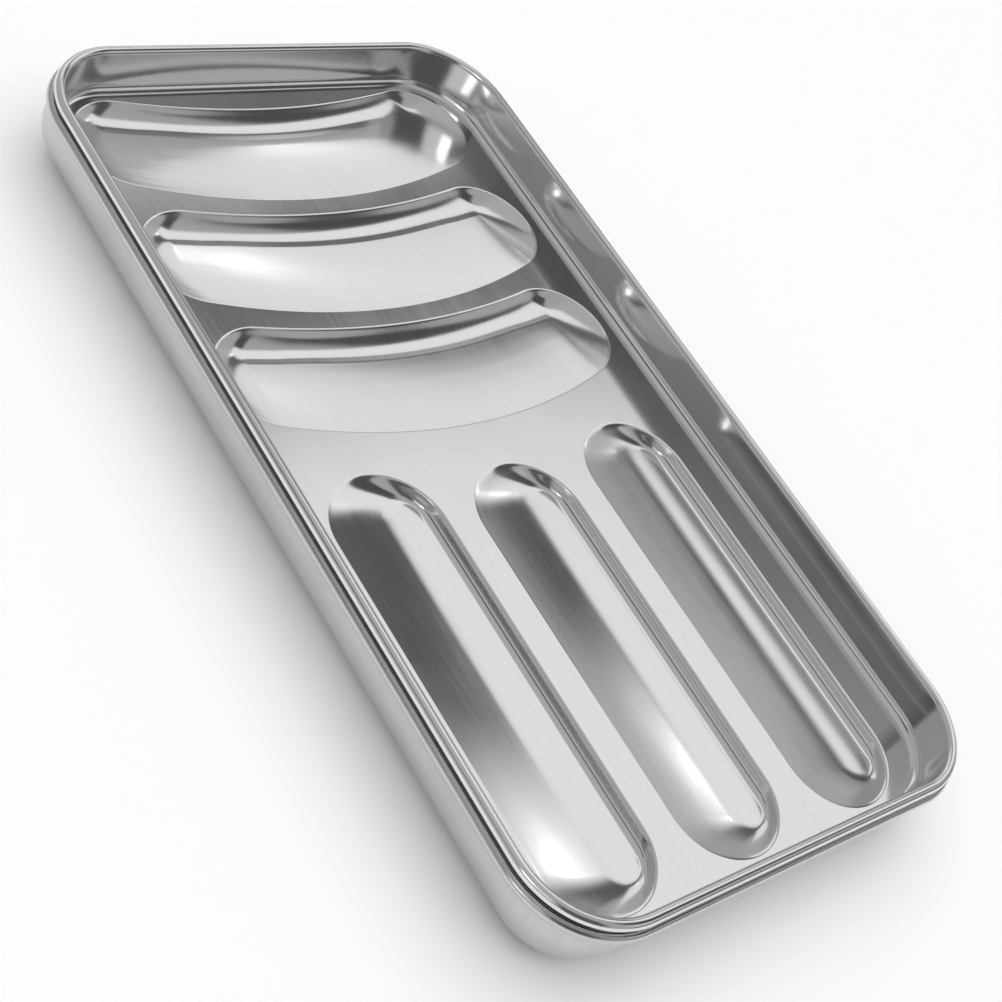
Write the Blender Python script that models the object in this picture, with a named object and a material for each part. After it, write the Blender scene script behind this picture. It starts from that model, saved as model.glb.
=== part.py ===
"""Two-piece stainless counting and sorting tray.

A stamped compartment tray with a rolled rim drops into a plain outer pan with its own smaller rolled rim.
The tray's floor has three curved troughs one behind the other across its far half, and three straight
round-ended troughs that run lengthwise, side by side, in its near half.
Metres, +Z up, the pan's underside on z = 0, +Y towards the curved troughs.
"""

import math

import bmesh
import bpy

MM = 0.001

# Overall size, measured to the outside of the compartment tray's rolled rim
TRAY_WIDTH = 100.0 * MM
TRAY_LENGTH = 180.0 * MM
RIM_CORNER_RADIUS = 16.5 * MM
SHEET = 0.5 * MM

# Heights above the table
PAN_BOTTOM_Z = 0.0
RIM_CENTRE_Z = 15.8 * MM
FLOOR_DEPTH = 8.4 * MM
FLOOR_Z = RIM_CENTRE_Z - FLOOR_DEPTH

# Compartment tray wall
RIM_RADIUS = 1.0 * MM
FLOOR_FILLET = 1.8 * MM

# Outer pan, its rim just below and just outside the tray's
PAN_RIM_RADIUS = 0.9 * MM
PAN_RIM_INSET = 0.2 * MM
PAN_RIM_DROP = 2.2 * MM
PAN_BOTTOM_RADIUS = 10.0 * MM
PAN_LOW_CORNER_RADIUS = 11.8 * MM

# Troughs
LIP_RADIUS = 0.9 * MM
STRAIGHT_HALF_WIDTH = 11.5 * MM
STRAIGHT_PITCH = 28.8 * MM
STRAIGHT_NEAR_END_Y = -85.9 * MM
STRAIGHT_OUTER_FAR_END_Y = -2.1 * MM
STRAIGHT_MIDDLE_FAR_END_Y = -5.7 * MM
# Trough shapes: the ramp's angle at the lip and at the bottom, wall angle, depth, radius from the ramp into the
# bottom, radius from the bottom into the wall, and how steep the ends are, from 0 (between the ramp and the wall)
# to 1 (as steep as the wall)
STRAIGHT_SHAPE = (math.radians(12), math.radians(8), math.radians(65), 2.4 * MM, 26.0 * MM, 1.8 * MM, 0.5)
CURVED_SHAPE = (math.radians(10), math.radians(3.5), math.radians(39), 2.1 * MM, 5.0 * MM, 6.4 * MM, 0.55)
CURVED_END_LEAN = 0.8
CURVED_HALF_WIDTH = 12.0 * MM
CURVED_END_HALF_WIDTH = 11.0 * MM
CURVED_SPINE_RADIUS = 118.0 * MM
CURVED_SPINE_HALF_ANGLE = math.radians(16.3)
CURVED_MIDDLE_Y = (70.1 * MM, 42.6 * MM, 15.2 * MM)

# Smoothness
CORNER_STEPS = 8
BEAD_STEP = math.radians(30.0)
FILLET_STEPS = 4
PAN_RADIUS_STEPS = 7
CAP_STEPS = 10
CURVED_STATIONS = 9
BOTTOM_STEPS = 5
RAMP_STEPS = 8
LIP_STEPS = 3


def clear_scene():
    for old in list(bpy.data.objects):
        bpy.data.objects.remove(old, do_unlink=True)


def steel(name, colour, roughness):
    material = bpy.data.materials.new(name)
    material.use_nodes = True
    shader = material.node_tree.nodes["Principled BSDF"]
    shader.inputs["Base Color"].default_value = (*colour, 1.0)
    shader.inputs["Metallic"].default_value = 1.0
    shader.inputs["Roughness"].default_value = roughness
    return material


def arc(centre_inset, centre_z, radius, start, end, steps):
    """Points of a section arc. The angle is 0 towards the middle of the tray and 90 degrees upwards."""
    points = []
    for step in range(steps + 1):
        angle = start + (end - start) * step / steps
        points.append((centre_inset + radius * math.cos(angle), centre_z + radius * math.sin(angle)))
    return points


def outline_ring(bm, inset, z, corner_radius):
    """One ring round the rim outline, anticlockwise seen from above. corner_radius is that of the outline itself."""
    reach_x = TRAY_WIDTH / 2 - corner_radius
    reach_y = TRAY_LENGTH / 2 - corner_radius
    radius = corner_radius - inset
    ring = []
    for quarter, (side_x, side_y) in enumerate(((1, 1), (-1, 1), (-1, -1), (1, -1))):
        for step in range(CORNER_STEPS + 1):
            angle = math.pi / 2 * (quarter + step / CORNER_STEPS)
            x = side_x * reach_x + radius * math.cos(angle)
            y = side_y * reach_y + radius * math.sin(angle)
            ring.append(bm.verts.new((x, y, z)))
    return ring


def join_rings(bm, first, second):
    count = len(first)
    for i in range(count):
        j = (i + 1) % count
        bm.faces.new((first[i], first[j], second[j], second[i]))


def sweep(bm, profile, corner_radius):
    """Sweeps a section of (inset, z) points round the rim outline and returns its first and last rings."""
    rings = [outline_ring(bm, inset, z, corner_radius(z)) for inset, z in profile]
    for first, second in zip(rings, rings[1:]):
        join_rings(bm, first, second)
    return rings[0], rings[-1]


def ring_edges(bm, ring):
    count = len(ring)
    return [bm.edges.get((ring[i], ring[(i + 1) % count])) for i in range(count)]


def fill_flat(bm, boundary, holes):
    """Fills the flat sheet between the outline ring and the lips of the troughs."""
    edges = ring_edges(bm, boundary)
    for hole in holes:
        edges += ring_edges(bm, hole)
    bmesh.ops.triangle_fill(bm, use_beauty=True, use_dissolve=False, edges=edges)


def bend(start, radius, first, last, steps):
    """Points after start on an arc that falls as x grows, while its slope goes from first to last.

    A positive radius curves like a bowl, a negative one like a lip.
    """
    points = []
    for step in range(1, steps + 1):
        slope = first + (last - first) * step / steps
        x = start[0] + radius * (math.sin(first) - math.sin(slope))
        z = start[1] + radius * (math.cos(first) - math.cos(slope))
        points.append((x, z))
    return points


def trough_sides(half_width, shape, under):
    """The near and far sides of a trough's section, (x, z) from the lip down. under is the depth below the top face.

    The near side is a gentle hollow ramp that runs out into the flat bottom. The far side is a steep wall.
    """
    ramp, low_ramp, wall, depth, toe_radius, heel_radius, _ = shape
    lip = LIP_RADIUS - under
    ramp_drop = depth - LIP_RADIUS * (1 - math.cos(ramp)) - toe_radius * (1 - math.cos(low_ramp))
    ramp_radius = ramp_drop / (math.cos(low_ramp) - math.cos(ramp))
    near_side = [(-half_width, -under)]
    near_side += bend(near_side[-1], -lip, 0.0, ramp, LIP_STEPS)
    near_side += bend(near_side[-1], ramp_radius + under, ramp, low_ramp, RAMP_STEPS)
    near_side += bend(near_side[-1], toe_radius + under, low_ramp, 0.0, BOTTOM_STEPS)
    wall_drop = depth - (LIP_RADIUS + heel_radius) * (1 - math.cos(wall))
    far_side = [(-half_width, -under)]
    far_side += bend(far_side[-1], -lip, 0.0, wall, LIP_STEPS)
    top_x, top_z = far_side[-1]
    far_side.append((top_x + wall_drop / math.tan(wall), top_z - wall_drop))
    far_side += bend(far_side[-1], heel_radius + under, wall, 0.0, BOTTOM_STEPS)
    return near_side, [(-x, z) for x, z in far_side]


def reach_at(side, z):
    """How far from the trough's middle line a side of its section is at height z."""
    for (upper_x, upper_z), (lower_x, lower_z) in zip(side, side[1:]):
        if z >= lower_z:
            share = min(max((upper_z - z) / (upper_z - lower_z), 0.0), 1.0)
            return upper_x + (lower_x - upper_x) * share
    return side[-1][0]


def trough_loop(spine):
    """Goes once round a trough's outline as (station, outward angle), starting along its near side."""
    last = len(spine) - 1
    loop = [(index, spine[index][2]) for index in range(last + 1)]
    loop += [(last, spine[last][2] + math.pi * step / CAP_STEPS) for step in range(1, CAP_STEPS)]
    loop += [(index, spine[index][2] + math.pi) for index in range(last, -1, -1)]
    loop += [(0, spine[0][2] + math.pi * (1 + step / CAP_STEPS)) for step in range(1, CAP_STEPS)]
    return loop


def add_trough(bm, spine, half_width, shape, under):
    """Adds one face of a trough's sheet, with its flat bottom, and returns its lip ring.

    spine: (x, y, angle of its near side, width scale, how much of the bottom's offset from the middle line it has).
    """
    near_side, far_side = trough_sides(half_width, shape, under)
    end_steepness = shape[-1]
    last = len(spine) - 1
    rings = []
    for far, z in far_side:
        near = -reach_at(near_side, z)
        shift = (far - near) / 2
        reach = (far + near) / 2
        ring = []
        for index, angle in trough_loop(spine):
            x, y, away, scale, lean = spine[index]
            x -= shift * lean * scale * math.cos(away)
            y -= shift * lean * scale * math.sin(away)
            if index in (0, last):
                end = away + math.pi / 2 if index == last else away - math.pi / 2
                x += end_steepness * shift * scale * math.cos(end)
                y += end_steepness * shift * scale * math.sin(end)
            x += reach * scale * math.cos(angle)
            y += reach * scale * math.sin(angle)
            ring.append(bm.verts.new((x, y, FLOOR_Z + z)))
        if rings:
            join_rings(bm, rings[-1], ring)
        rings.append(ring)
    fill_flat(bm, rings[-1], [])
    return rings[0]


def straight_spine(x, far_end_y):
    """Two stations, far to near: the near side of the loop is the trough's left long side."""
    far = far_end_y - STRAIGHT_HALF_WIDTH
    near = STRAIGHT_NEAR_END_Y + STRAIGHT_HALF_WIDTH
    return [(x, far, math.pi, 1.0, 1.0), (x, near, math.pi, 1.0, 1.0)]


def curved_spine(middle_y):
    """Stations left to right along an arc that bows towards the near end, a little narrower at its ends."""
    centre_y = middle_y + CURVED_SPINE_RADIUS
    spine = []
    for station in range(CURVED_STATIONS):
        share = 2 * station / (CURVED_STATIONS - 1) - 1
        angle = CURVED_SPINE_HALF_ANGLE * share - math.pi / 2
        x = CURVED_SPINE_RADIUS * math.cos(angle)
        y = centre_y + CURVED_SPINE_RADIUS * math.sin(angle)
        narrowing = 1 - (1 - CURVED_END_HALF_WIDTH / CURVED_HALF_WIDTH) * share**2
        lean = 1 - (1 - CURVED_END_LEAN) * share**8
        spine.append((x, y, angle, narrowing, lean))
    return spine


def all_spines():
    spines = []
    for middle_y in CURVED_MIDDLE_Y:
        spines.append((curved_spine(middle_y), CURVED_HALF_WIDTH, CURVED_SHAPE))
    far_ends = (STRAIGHT_OUTER_FAR_END_Y, STRAIGHT_MIDDLE_FAR_END_Y, STRAIGHT_OUTER_FAR_END_Y)
    for index, far_end_y in enumerate(far_ends):
        spine = straight_spine((index - 1) * STRAIGHT_PITCH, far_end_y)
        spines.append((spine, STRAIGHT_HALF_WIDTH, STRAIGHT_SHAPE))
    return spines


def finish(bm, name, material):
    bmesh.ops.recalc_face_normals(bm, faces=bm.faces)
    for face in bm.faces:
        face.smooth = True
    mesh = bpy.data.meshes.new(name)
    bm.to_mesh(mesh)
    bm.free()
    mesh.materials.append(material)
    part = bpy.data.objects.new(name, mesh)
    bpy.context.scene.collection.objects.link(part)
    return part


def bead(inset, z, radius, wall_inset):
    """A rolled rim: round from the wall's inner face, over the top and back under to the wall's outer face."""
    under = math.acos((wall_inset - inset) / radius)
    end = 2 * math.pi - under
    steps = round(end / BEAD_STEP)
    return arc(inset, z, radius, 0.0, end, steps)


def compartment_tray(material):
    bm = bmesh.new()
    wall_in = 2 * RIM_RADIUS
    wall_out = wall_in - SHEET
    fillet_centre = (wall_in + FLOOR_FILLET, FLOOR_Z + FLOOR_FILLET)
    down, left = 1.5 * math.pi, math.pi
    profile = arc(*fillet_centre, FLOOR_FILLET, down, left, FILLET_STEPS)
    profile += bead(RIM_RADIUS, RIM_CENTRE_Z, RIM_RADIUS, wall_out)
    profile += arc(*fillet_centre, FLOOR_FILLET + SHEET, left, down, FILLET_STEPS)
    upper, lower = sweep(bm, profile, lambda z: RIM_CORNER_RADIUS)
    for under, boundary in ((0.0, upper), (SHEET, lower)):
        lips = [add_trough(bm, spine, half_width, shape, under) for spine, half_width, shape in all_spines()]
        fill_flat(bm, boundary, lips)
    return finish(bm, "compartment_tray", material)


def pan_corner_radius(z):
    """The pan's corners are tighter towards its bottom than at its rim."""
    share = min(max(z - PAN_BOTTOM_Z, 0.0) / (RIM_CENTRE_Z - PAN_RIM_DROP - PAN_BOTTOM_Z), 1.0)
    return PAN_LOW_CORNER_RADIUS + (RIM_CORNER_RADIUS - PAN_LOW_CORNER_RADIUS) * share


def outer_pan(material):
    bm = bmesh.new()
    wall_in = PAN_RIM_INSET + PAN_RIM_RADIUS
    wall_out = wall_in - SHEET
    radius_centre = (wall_out + PAN_BOTTOM_RADIUS, PAN_BOTTOM_Z + PAN_BOTTOM_RADIUS)
    rim_z = RIM_CENTRE_Z - PAN_RIM_DROP
    down, left = 1.5 * math.pi, math.pi
    profile = arc(*radius_centre, PAN_BOTTOM_RADIUS - SHEET, down, left, PAN_RADIUS_STEPS)
    profile += bead(PAN_RIM_INSET, rim_z, PAN_RIM_RADIUS, wall_out)
    profile += arc(*radius_centre, PAN_BOTTOM_RADIUS, left, down, PAN_RADIUS_STEPS)
    upper, lower = sweep(bm, profile, pan_corner_radius)
    fill_flat(bm, upper, [])
    fill_flat(bm, lower, [])
    return finish(bm, "outer_pan", material)


clear_scene()
polished = steel("polished_stainless", (0.74, 0.74, 0.75), 0.16)
satin = steel("satin_stainless", (0.61, 0.61, 0.62), 0.24)
compartment_tray(polished)
outer_pan(satin)
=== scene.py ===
"""The looks of the two-piece steel tray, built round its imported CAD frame.

Both pieces are pressed from thin sheet, so each is modelled as one surface with the sheet's thickness behind it:
floor, troughs, fillet, wall and the rolled rim, which is a real hollow curl here. Metres, +Z up, +Y towards the
curved troughs.
"""

import math

import bmesh
import bpy
from mathutils import Matrix, Vector


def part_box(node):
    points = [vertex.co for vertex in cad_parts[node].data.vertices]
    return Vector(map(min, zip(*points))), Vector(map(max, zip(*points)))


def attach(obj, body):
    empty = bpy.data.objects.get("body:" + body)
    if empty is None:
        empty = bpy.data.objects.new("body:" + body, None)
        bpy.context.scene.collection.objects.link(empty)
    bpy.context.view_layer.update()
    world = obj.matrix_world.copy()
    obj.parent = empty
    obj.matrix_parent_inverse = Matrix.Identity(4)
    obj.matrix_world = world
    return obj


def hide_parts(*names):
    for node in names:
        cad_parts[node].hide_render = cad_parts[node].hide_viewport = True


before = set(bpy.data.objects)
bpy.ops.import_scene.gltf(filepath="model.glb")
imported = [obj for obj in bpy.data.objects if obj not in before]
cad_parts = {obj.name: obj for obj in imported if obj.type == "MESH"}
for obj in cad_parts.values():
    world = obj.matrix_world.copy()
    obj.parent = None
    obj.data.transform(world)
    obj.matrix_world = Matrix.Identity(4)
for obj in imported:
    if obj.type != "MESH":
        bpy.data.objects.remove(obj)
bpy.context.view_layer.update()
tray_low, tray_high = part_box("compartment_tray")
pan_low, pan_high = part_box("outer_pan")

MM = 0.001

# Sizes taken from the frame
WIDTH = tray_high.x - tray_low.x
LENGTH = tray_high.y - tray_low.y
RIM_TOP = tray_high.z
PAN_OVERHANG = pan_high.x - tray_high.x
PAN_TOP = pan_high.z

# Sizes that the frame's boxes don't give
SHEET = 0.5 * MM
RIM_CORNER_RADIUS = 16.5 * MM
RIM_RADIUS = 1.0 * MM
FLOOR_DEPTH = 8.4 * MM
FLOOR_FILLET = 1.8 * MM
PAN_RIM_RADIUS = 0.9 * MM
PAN_BOTTOM_RADIUS = 10.0 * MM
PAN_LOW_CORNER_RADIUS = 11.8 * MM
LIP_RADIUS = 0.9 * MM
# Trough shapes: the ramp's angle at the lip and at the bottom, wall angle, depth, radius from the ramp into the
# bottom, radius from the bottom into the wall, and how steep the ends are, from 0 (between the ramp and the wall)
# to 1 (as steep as the wall)
STRAIGHT_SHAPE = (math.radians(12), math.radians(8), math.radians(65), 2.4 * MM, 26.0 * MM, 1.8 * MM, 0.5)
CURVED_SHAPE = (math.radians(10), math.radians(3.5), math.radians(39), 2.1 * MM, 5.0 * MM, 6.4 * MM, 0.55)
CURVED_END_LEAN = 0.8
STRAIGHT_HALF_WIDTH = 11.5 * MM
STRAIGHT_PITCH = 28.8 * MM
STRAIGHT_NEAR_END_Y = -85.9 * MM
STRAIGHT_OUTER_FAR_END_Y = -2.1 * MM
STRAIGHT_MIDDLE_FAR_END_Y = -5.7 * MM
CURVED_HALF_WIDTH = 12.0 * MM
CURVED_END_HALF_WIDTH = 11.0 * MM
CURVED_SPINE_RADIUS = 118.0 * MM
CURVED_SPINE_HALF_ANGLE = math.radians(16.3)
CURVED_MIDDLE_Y = (70.1 * MM, 42.6 * MM, 15.2 * MM)

RIM_CENTRE_Z = RIM_TOP - RIM_RADIUS
FLOOR_Z = RIM_CENTRE_Z - FLOOR_DEPTH

# Smoothness
CORNER_STEPS = 24
BEAD_STEPS = 28
FILLET_STEPS = 8
PAN_RADIUS_STEPS = 20
CAP_STEPS = 28
CURVED_STATIONS = 25
BOTTOM_STEPS = 14
WALL_STEPS = 4
RAMP_STEPS = 10
LEVEL_GAP = 0.008 * MM
LIP_STEPS = 6
ROLL_END = math.radians(292)

# Steel. Tones are the darkest and lightest of the grain; the scales are in waves per metre.
POLISHED_TONES = ((0.725, 0.725, 0.73), (0.75, 0.75, 0.757))
POLISHED_ROUGHNESS = 0.14
POLISHED_GRAIN_DEPTH = 0.00008 * MM
SATIN_TONES = ((0.55, 0.55, 0.56), (0.61, 0.61, 0.62))
SATIN_ROUGHNESS = 0.22
SATIN_GRAIN_DEPTH = 0.0003 * MM
GRAIN_STRETCH = 30.0
GRAIN_SCALE = 60.0
CLOUD_SCALE = 45.0
WAVE_SCALE = 28.0
WAVE_DEPTH = 0.03 * MM

# Camera
LENS = 65.94
SENSOR_WIDTH = 36.0
CLIP_START = 10.0 * MM
CAMERA_AZIMUTH = math.radians(209.40)
CAMERA_ELEVATION = math.radians(41.473)
CAMERA_ROLL = math.radians(36.36)
CAMERA_DISTANCE = 306.28 * MM
TARGET = Vector((-8.27 * MM, -14.91 * MM, RIM_CENTRE_Z - 5.0 * MM))

# Paper floor and the light that evens it out
PAPER_HALF_SIZE = 10.0
PAPER_TONE = (0.9, 0.9, 0.9, 1.0)
PAPER_ROUGHNESS = 0.9
PAPER_GAP = 0.1 * MM
FILL_ENERGY = 1.9
FILL_ANGLE = math.radians(100)

# The room's panels: azimuth and elevation of the middle, half width, half height, roll (all degrees), softness of the
# edge (tangent), brightness. Azimuth runs from +X towards +Y. A later panel covers an earlier one.
ROOM_BRIGHTNESS = 0.45
SIDE_DARK = (-40, 2, 30, 12, 0, 0.15, 0.10)
BEHIND_DARK = (246, 30, 22, 28, 0, 0.2, 0.12)
LEFT_DARK = (160, 39, 16, 9, 0, 0.06, 0.07)
RIGHT_DARK = (-26, 47, 14, 11, 0, 0.10, 0.08)
ABOVE = (120, 75, 45, 25, 0, 0.4, 0.50)
RIGHT_GLOW = (-55, 27, 10, 9, 0, 0.10, 0.68)
BEHIND_LIGHT = (206, 34, 12, 12, 0, 0.2, 0.9)
LEFT_LOW = (161, 21, 10, 5, 0, 0.05, 0.70)
LEFT_LAMP = (187, 33, 6, 8, 0, 0.06, 3.0)
LEFT_OF_KEY = (8, 24, 8, 12, 0, 0.12, 0.52)
BACKDROP = (56, 28, 20, 9, 0, 0.05, 0.94)
KEY = (21, 48.7, 22, 13, 48, 0.04, 0.98)
LOW_DARK = (25.5, 28, 7.5, 5.5, 0, 0.08, 0.08)
GAP_DARK = (38.8, 37.2, 20, 3.2, 48, 0.03, 0.10)
LAMP = (12.9, 28.6, 0.7, 0.7, 0, 0.015, 7.0)
FAR_LAMP = (48.0, 30.6, 0.6, 0.6, 0, 0.015, 7.0)
PANELS = (SIDE_DARK, BEHIND_DARK, LEFT_DARK, RIGHT_DARK, ABOVE, RIGHT_GLOW, BEHIND_LIGHT, LEFT_LOW, LEFT_LAMP)
PANELS += (LEFT_OF_KEY, BACKDROP, KEY, LOW_DARK, GAP_DARK, LAMP, FAR_LAMP)


def arc(centre_inset, centre_z, radius, start, end, steps):
    """Points of a section arc. The angle is 0 towards the middle of the tray and 90 degrees upwards."""
    points = []
    for step in range(steps + 1):
        angle = start + (end - start) * step / steps
        points.append((centre_inset + radius * math.cos(angle), centre_z + radius * math.sin(angle)))
    return points


def outline_ring(bm, inset, z, corner_radius):
    reach_x = WIDTH / 2 - corner_radius
    reach_y = LENGTH / 2 - corner_radius
    radius = corner_radius - inset
    ring = []
    for quarter, (side_x, side_y) in enumerate(((1, 1), (-1, 1), (-1, -1), (1, -1))):
        for step in range(CORNER_STEPS + 1):
            angle = math.pi / 2 * (quarter + step / CORNER_STEPS)
            x = side_x * reach_x + radius * math.cos(angle)
            y = side_y * reach_y + radius * math.sin(angle)
            ring.append(bm.verts.new((x, y, z)))
    return ring


def join_rings(bm, first, second):
    count = len(first)
    for i in range(count):
        j = (i + 1) % count
        bm.faces.new((first[i], first[j], second[j], second[i]))


def sweep(bm, profile, corner_radius):
    rings = [outline_ring(bm, inset, z, corner_radius(z)) for inset, z in profile]
    for first, second in zip(rings, rings[1:]):
        join_rings(bm, first, second)
    return rings


def ring_edges(bm, ring):
    count = len(ring)
    return [bm.edges.get((ring[i], ring[(i + 1) % count])) for i in range(count)]


def fill_flat(bm, boundary, holes):
    edges = ring_edges(bm, boundary)
    for hole in holes:
        edges += ring_edges(bm, hole)
    bmesh.ops.triangle_fill(bm, use_beauty=True, use_dissolve=False, edges=edges)


def bend(start, radius, first, last, steps):
    """Points after start on an arc that falls as x grows, while its slope goes from first to last.

    A positive radius curves like a bowl, a negative one like a lip.
    """
    points = []
    for step in range(1, steps + 1):
        slope = first + (last - first) * step / steps
        x = start[0] + radius * (math.sin(first) - math.sin(slope))
        z = start[1] + radius * (math.cos(first) - math.cos(slope))
        points.append((x, z))
    return points


def trough_sides(half_width, shape):
    """The near and far sides of a trough's section, (x, z) from the lip down to the edge of its flat bottom.

    The near side is a gentle hollow ramp that runs out into the bottom. The far side is a steep wall.
    """
    ramp, low_ramp, wall, depth, toe_radius, heel_radius, _ = shape
    ramp_drop = depth - LIP_RADIUS * (1 - math.cos(ramp)) - toe_radius * (1 - math.cos(low_ramp))
    ramp_radius = ramp_drop / (math.cos(low_ramp) - math.cos(ramp))
    near_side = [(-half_width, 0.0)]
    near_side += bend(near_side[-1], -LIP_RADIUS, 0.0, ramp, LIP_STEPS)
    near_side += bend(near_side[-1], ramp_radius, ramp, low_ramp, RAMP_STEPS)
    near_side += bend(near_side[-1], toe_radius, low_ramp, 0.0, BOTTOM_STEPS)
    wall_drop = depth - (LIP_RADIUS + heel_radius) * (1 - math.cos(wall))
    far_side = [(-half_width, 0.0)]
    far_side += bend(far_side[-1], -LIP_RADIUS, 0.0, wall, LIP_STEPS)
    top_x, top_z = far_side[-1]
    for step in range(1, WALL_STEPS + 1):
        drop = wall_drop * step / WALL_STEPS
        far_side.append((top_x + drop / math.tan(wall), top_z - drop))
    far_side += bend(far_side[-1], heel_radius, wall, 0.0, BOTTOM_STEPS)
    return near_side, [(-x, z) for x, z in far_side]


def reach_at(side, z):
    """How far from the trough's middle line a side of its section is at height z."""
    for (upper_x, upper_z), (lower_x, lower_z) in zip(side, side[1:]):
        if z >= lower_z:
            share = min(max((upper_z - z) / (upper_z - lower_z), 0.0), 1.0)
            return upper_x + (lower_x - upper_x) * share
    return side[-1][0]


def trough_levels(near_side, far_side):
    """Heights of the rings a trough is built from: those of both sides, leaving out any that crowd the last one."""
    levels = sorted({z for _, z in far_side} | {z for _, z in near_side}, reverse=True)
    kept = [levels[0]]
    for z in levels[1:-1]:
        if kept[-1] - z > LEVEL_GAP and z - levels[-1] > LEVEL_GAP:
            kept.append(z)
    return kept + [levels[-1]]


def add_trough(bm, spine, half_width, shape):
    """Adds a trough's surface. Returns its lip and bottom rings.

    spine: (x, y, angle of its near side, width scale, how much of the bottom's offset from the middle line it has).
    """
    near_side, far_side = trough_sides(half_width, shape)
    end_steepness = shape[-1]
    last = len(spine) - 1
    loop = [(i, spine[i][2]) for i in range(last + 1)]
    loop += [(last, spine[last][2] + math.pi * step / CAP_STEPS) for step in range(1, CAP_STEPS)]
    loop += [(i, spine[i][2] + math.pi) for i in range(last, -1, -1)]
    loop += [(0, spine[0][2] + math.pi * (1 + step / CAP_STEPS)) for step in range(1, CAP_STEPS)]
    rings = []
    for z in trough_levels(near_side, far_side):
        near = -reach_at(near_side, z)
        far = reach_at(far_side, z)
        shift = (far - near) / 2
        reach = (far + near) / 2
        ring = []
        for i, angle in loop:
            x, y, away, scale, lean = spine[i]
            x += scale * (reach * math.cos(angle) - shift * lean * math.cos(away))
            y += scale * (reach * math.sin(angle) - shift * lean * math.sin(away))
            if i in (0, last):
                end = away + math.pi / 2 if i == last else away - math.pi / 2
                x += end_steepness * shift * scale * math.cos(end)
                y += end_steepness * shift * scale * math.sin(end)
            ring.append(bm.verts.new((x, y, FLOOR_Z + z)))
        if rings:
            join_rings(bm, rings[-1], ring)
        rings.append(ring)
    fill_flat(bm, rings[-1], [])
    return rings[0], rings[-1]


def straight_spine(x, far_end_y):
    far = far_end_y - STRAIGHT_HALF_WIDTH
    near = STRAIGHT_NEAR_END_Y + STRAIGHT_HALF_WIDTH
    return [(x, far, math.pi, 1.0, 1.0), (x, near, math.pi, 1.0, 1.0)]


def curved_spine(middle_y):
    centre_y = middle_y + CURVED_SPINE_RADIUS
    spine = []
    for station in range(CURVED_STATIONS):
        share = 2 * station / (CURVED_STATIONS - 1) - 1
        angle = CURVED_SPINE_HALF_ANGLE * share - math.pi / 2
        x = CURVED_SPINE_RADIUS * math.cos(angle)
        y = centre_y + CURVED_SPINE_RADIUS * math.sin(angle)
        narrowing = 1 - (1 - CURVED_END_HALF_WIDTH / CURVED_HALF_WIDTH) * share**2
        lean = 1 - (1 - CURVED_END_LEAN) * share**8
        spine.append((x, y, angle, narrowing, lean))
    return spine


def thicken(bm, thickness, flats):
    """Gives the surface its sheet thickness on its back. Vertices in flats keep straight-up normals."""
    bm.normal_update()
    top_verts = list(bm.verts)
    top_faces = list(bm.faces)
    normals = {v: (Vector((0, 0, 1)) if v in flats else v.normal.copy()) for v in top_verts}
    back = {v: bm.verts.new(v.co - normals[v] * thickness) for v in top_verts}
    edges = [e for e in bm.edges if len(e.link_faces) == 1]
    for face in top_faces:
        bm.faces.new([back[v] for v in reversed(face.verts)])
    for edge in edges:
        loop = edge.link_loops[0]
        a, b = loop.vert, loop.link_loop_next.vert
        bm.faces.new((b, a, back[a], back[b]))
    return [normals[v] for v in top_verts] + [-normals[v] for v in top_verts]


def make_object(bm, name, normals, material, body, node):
    for face in bm.faces:
        face.smooth = True
    mesh = bpy.data.meshes.new(name)
    bm.to_mesh(mesh)
    bm.free()
    mesh.normals_split_custom_set_from_vertices([tuple(n) for n in normals])
    mesh.materials.append(material)
    piece = bpy.data.objects.new(name, mesh)
    bpy.context.scene.collection.objects.link(piece)
    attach(piece, body)
    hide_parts(node)
    return piece


def curl(inset, z, radius):
    """The rolled rim: up from the wall, over the top, down the outside and back in under itself."""
    return arc(inset, z, radius, 0.0, ROLL_END, BEAD_STEPS)


def face_up(bm, sample):
    """Turns every face outward from the metal, so that the one at sample faces up."""
    bmesh.ops.recalc_face_normals(bm, faces=bm.faces)
    bm.normal_update()
    if sample.normal.z < 0:
        bmesh.ops.reverse_faces(bm, faces=bm.faces)


def build_tray(material):
    bm = bmesh.new()
    wall_in = 2 * RIM_RADIUS
    centre = (wall_in + FLOOR_FILLET, FLOOR_Z + FLOOR_FILLET)
    profile = arc(*centre, FLOOR_FILLET, 1.5 * math.pi, math.pi, FILLET_STEPS)
    profile += curl(RIM_RADIUS, RIM_CENTRE_Z, RIM_RADIUS)
    rings = sweep(bm, profile, lambda z: RIM_CORNER_RADIUS)
    edges = [add_trough(bm, curved_spine(y), CURVED_HALF_WIDTH, CURVED_SHAPE) for y in CURVED_MIDDLE_Y]
    far_ends = (STRAIGHT_OUTER_FAR_END_Y, STRAIGHT_MIDDLE_FAR_END_Y, STRAIGHT_OUTER_FAR_END_Y)
    for index, far_end_y in enumerate(far_ends):
        spine = straight_spine((index - 1) * STRAIGHT_PITCH, far_end_y)
        edges.append(add_trough(bm, spine, STRAIGHT_HALF_WIDTH, STRAIGHT_SHAPE))
    fill_flat(bm, rings[0], [lip for lip, _ in edges])
    flats = set(rings[0])
    for lip, bottom in edges:
        flats.update(lip)
        flats.update(bottom)
    floor = max((f for f in bm.faces if all(v in flats for v in f.verts)), key=lambda f: f.calc_area())
    face_up(bm, floor)
    normals = thicken(bm, SHEET, flats)
    return make_object(bm, "stamped_tray", normals, material, "tray", "compartment_tray")


def pan_corner_radius(z):
    share = min(max((z - pan_low.z) / (PAN_TOP - PAN_RIM_RADIUS - pan_low.z), 0.0), 1.0)
    return PAN_LOW_CORNER_RADIUS + (RIM_CORNER_RADIUS - PAN_LOW_CORNER_RADIUS) * share


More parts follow.
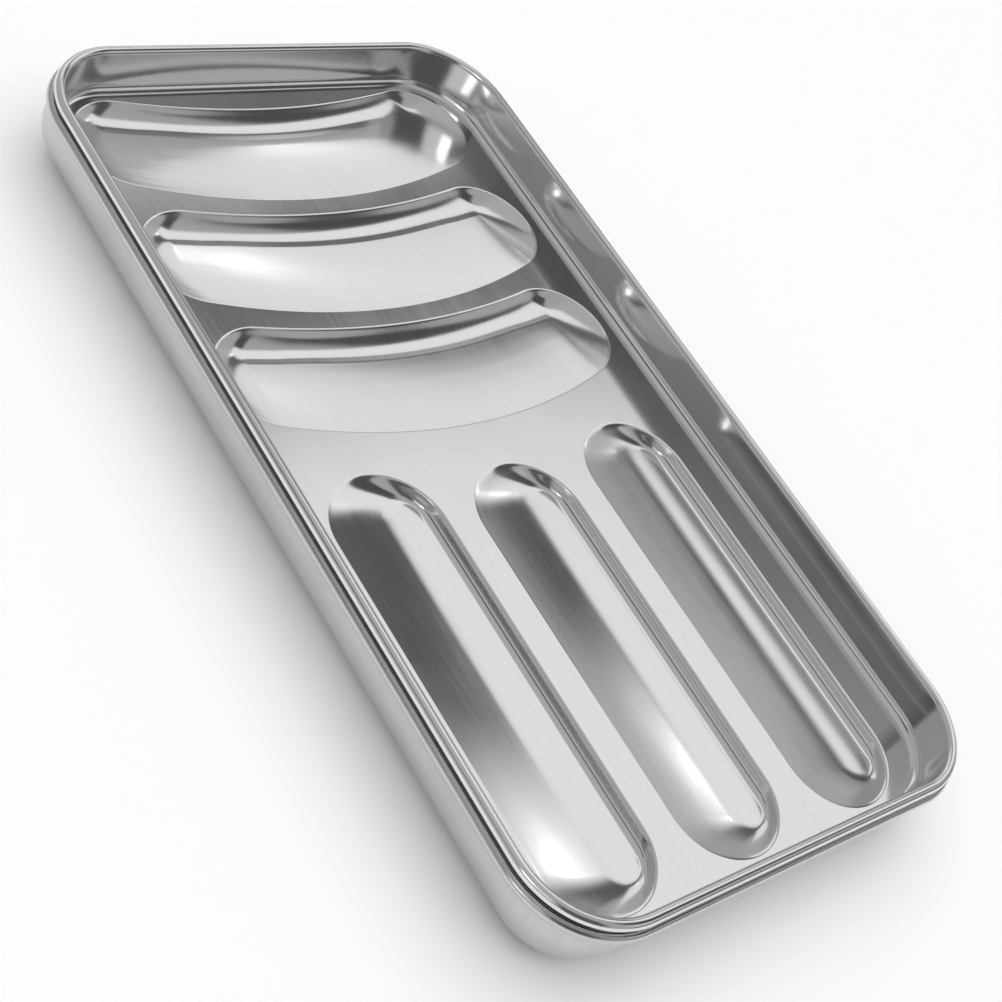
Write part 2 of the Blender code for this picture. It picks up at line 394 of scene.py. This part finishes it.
def build_pan(material):
    bm = bmesh.new()
    rim_inset = PAN_RIM_RADIUS - PAN_OVERHANG
    wall_in = rim_inset + PAN_RIM_RADIUS
    radius = PAN_BOTTOM_RADIUS - SHEET
    profile = arc(wall_in + radius, SHEET + radius, radius, 1.5 * math.pi, math.pi, PAN_RADIUS_STEPS)
    profile += curl(rim_inset, PAN_TOP - PAN_RIM_RADIUS, PAN_RIM_RADIUS)
    rings = sweep(bm, profile, pan_corner_radius)
    fill_flat(bm, rings[0], [])
    flats = set(rings[0])
    floor = max((f for f in bm.faces if all(v in flats for v in f.verts)), key=lambda f: f.calc_area())
    face_up(bm, floor)
    normals = thicken(bm, SHEET, flats)
    return make_object(bm, "plain_pan", normals, material, "pan", "outer_pan")


def steel(name, tones, roughness, grain_depth):
    """Sheet steel: rolling grain along the sheet, cloudy handling marks and a barely uneven surface."""
    material = bpy.data.materials.new(name)
    material.use_nodes = True
    nodes = material.node_tree.nodes
    links = material.node_tree.links
    shader = nodes["Principled BSDF"]
    shader.inputs["Metallic"].default_value = 1.0
    place = nodes.new("ShaderNodeTexCoord").outputs["Object"]

    def noise(stretch, scale, detail):
        mapping = nodes.new("ShaderNodeMapping")
        mapping.inputs["Scale"].default_value = stretch
        links.new(place, mapping.inputs["Vector"])
        texture = nodes.new("ShaderNodeTexNoise")
        texture.inputs["Scale"].default_value = scale
        texture.inputs["Detail"].default_value = detail
        links.new(mapping.outputs["Vector"], texture.inputs["Vector"])
        return texture.outputs["Fac"]

    def spread(value, low, high):
        node = nodes.new("ShaderNodeMapRange")
        node.inputs["From Min"].default_value = 0.3
        node.inputs["From Max"].default_value = 0.7
        node.inputs["To Min"].default_value = low
        node.inputs["To Max"].default_value = high
        links.new(value, node.inputs["Value"])
        return node.outputs["Result"]

    brushing = noise((GRAIN_STRETCH, 1.0, 1.0), GRAIN_SCALE, 3.0)
    clouds = noise((1.0, 1.0, 1.0), CLOUD_SCALE, 4.0)
    waves = noise((1.0, 1.0, 1.0), WAVE_SCALE, 1.0)

    tone = nodes.new("ShaderNodeMix")
    tone.data_type = "RGBA"
    tone.inputs["A"].default_value = (*tones[0], 1.0)
    tone.inputs["B"].default_value = (*tones[1], 1.0)
    links.new(spread(brushing, 0.0, 1.0), tone.inputs["Factor"])
    links.new(tone.outputs["Result"], shader.inputs["Base Color"])

    both = nodes.new("ShaderNodeMath")
    both.operation = "MULTIPLY"
    links.new(spread(clouds, 0.85, 1.15), both.inputs[0])
    links.new(spread(brushing, roughness * 0.94, roughness * 1.07), both.inputs[1])
    links.new(both.outputs[0], shader.inputs["Roughness"])

    fine = nodes.new("ShaderNodeBump")
    fine.inputs["Strength"].default_value = 1.0
    fine.inputs["Distance"].default_value = grain_depth
    links.new(brushing, fine.inputs["Height"])
    slow = nodes.new("ShaderNodeBump")
    slow.inputs["Strength"].default_value = 1.0
    slow.inputs["Distance"].default_value = WAVE_DEPTH
    links.new(waves, slow.inputs["Height"])
    links.new(fine.outputs["Normal"], slow.inputs["Normal"])
    links.new(slow.outputs["Normal"], shader.inputs["Normal"])
    return material


def add_camera():
    data = bpy.data.cameras.new("camera")
    data.lens = LENS
    data.sensor_width = SENSOR_WIDTH
    data.clip_start = CLIP_START
    camera = bpy.data.objects.new("camera", data)
    bpy.context.scene.collection.objects.link(camera)
    bpy.context.scene.camera = camera
    return camera


def place_camera(camera, target, azimuth, elevation, roll, distance):
    """azimuth and elevation say where the camera stands as seen from the target; roll turns its picture."""
    level = math.cos(elevation)
    back = Vector((math.cos(azimuth) * level, math.sin(azimuth) * level, math.sin(elevation)))
    level_right = Vector((0, 0, 1)).cross(back).normalized()
    level_up = back.cross(level_right)
    right = level_right * math.cos(roll) + level_up * math.sin(roll)
    up = back.cross(right)
    matrix = Matrix((right, up, back)).transposed().to_4x4()
    matrix.translation = target + back * distance
    camera.matrix_world = matrix


def add_floor():
    bm = bmesh.new()
    bmesh.ops.create_grid(bm, x_segments=1, y_segments=1, size=PAPER_HALF_SIZE)
    mesh = bpy.data.meshes.new("floor")
    bm.to_mesh(mesh)
    bm.free()
    floor = bpy.data.objects.new("floor", mesh)
    material = bpy.data.materials.new("floor_paper")
    material.use_nodes = True
    shader = material.node_tree.nodes["Principled BSDF"]
    shader.inputs["Base Color"].default_value = PAPER_TONE
    shader.inputs["Roughness"].default_value = PAPER_ROUGHNESS
    mesh.materials.append(material)
    floor.location.z = pan_low.z - PAPER_GAP
    bpy.context.scene.collection.objects.link(floor)


def direction(azimuth, elevation):
    """Unit vector towards a direction given in degrees."""
    azimuth, elevation = math.radians(azimuth), math.radians(elevation)
    flat = math.cos(elevation)
    return Vector((flat * math.cos(azimuth), flat * math.sin(azimuth), math.sin(elevation)))


def studio_world(base, panels):
    """A soft room of brightness base, with soft-edged panels in it."""
    world = bpy.data.worlds.new("studio")
    world.use_nodes = True
    nodes = world.node_tree.nodes
    links = world.node_tree.links
    look = nodes.new("ShaderNodeTexCoord").outputs["Generated"]

    def dot(axis):
        node = nodes.new("ShaderNodeVectorMath")
        node.operation = "DOT_PRODUCT"
        links.new(look, node.inputs[0])
        node.inputs[1].default_value = axis
        return node.outputs["Value"]

    def ratio(top, bottom):
        node = nodes.new("ShaderNodeMath")
        node.operation = "DIVIDE"
        links.new(top, node.inputs[0])
        links.new(bottom, node.inputs[1])
        return node.outputs[0]

    level = None
    for azimuth, elevation, half_width, half_height, roll, soft, brightness in panels:
        centre = direction(azimuth, elevation)
        level_across = Vector((0, 0, 1)).cross(centre).normalized()
        turn = Matrix.Rotation(math.radians(roll), 3, centre)
        across = turn @ level_across
        upward = turn @ centre.cross(level_across)
        width = math.tan(math.radians(half_width))
        height = math.tan(math.radians(half_height))
        ahead = dot(centre)
        mask = None
        for axis, reach in ((across, width), (upward, height)):
            size = nodes.new("ShaderNodeMath")
            size.operation = "ABSOLUTE"
            links.new(ratio(dot(axis), ahead), size.inputs[0])
            fade = nodes.new("ShaderNodeMapRange")
            fade.interpolation_type = "SMOOTHSTEP"
            links.new(size.outputs[0], fade.inputs["Value"])
            fade.inputs["From Min"].default_value = reach - soft / 2
            fade.inputs["From Max"].default_value = reach + soft / 2
            fade.inputs["To Min"].default_value = 1.0
            fade.inputs["To Max"].default_value = 0.0
            mask = times(nodes, links, mask, fade.outputs["Result"]) if mask else fade.outputs["Result"]
        front = nodes.new("ShaderNodeMath")
        front.operation = "GREATER_THAN"
        links.new(ahead, front.inputs[0])
        front.inputs[1].default_value = 0.0
        mask = times(nodes, links, mask, front.outputs[0])
        blend = nodes.new("ShaderNodeMix")
        blend.data_type = "FLOAT"
        links.new(mask, blend.inputs["Factor"])
        if level:
            links.new(level, blend.inputs["A"])
        else:
            blend.inputs["A"].default_value = base
        blend.inputs["B"].default_value = brightness
        level = blend.outputs["Result"]
    links.new(level, nodes["Background"].inputs["Color"])
    bpy.context.scene.world = world


def times(nodes, links, first, second):
    node = nodes.new("ShaderNodeMath")
    node.operation = "MULTIPLY"
    links.new(first, node.inputs[0])
    links.new(second, node.inputs[1])
    return node.outputs[0]


def add_floor_light():
    """Evens out the paper. It isn't seen in the steel."""
    data = bpy.data.lights.new("floor_fill", "SUN")
    data.energy = FILL_ENERGY
    data.angle = FILL_ANGLE
    light = bpy.data.objects.new("floor_fill", data)
    light.visible_glossy = False
    bpy.context.scene.collection.objects.link(light)


tray = build_tray(steel("pressed_steel", POLISHED_TONES, POLISHED_ROUGHNESS, POLISHED_GRAIN_DEPTH))
pan = build_pan(steel("pan_steel", SATIN_TONES, SATIN_ROUGHNESS, SATIN_GRAIN_DEPTH))

place_camera(add_camera(), TARGET, CAMERA_AZIMUTH, CAMERA_ELEVATION, CAMERA_ROLL, CAMERA_DISTANCE)
add_floor()
studio_world(ROOM_BRIGHTNESS, PANELS)
add_floor_light()
bpy.context.scene.view_settings.view_transform = "Standard"
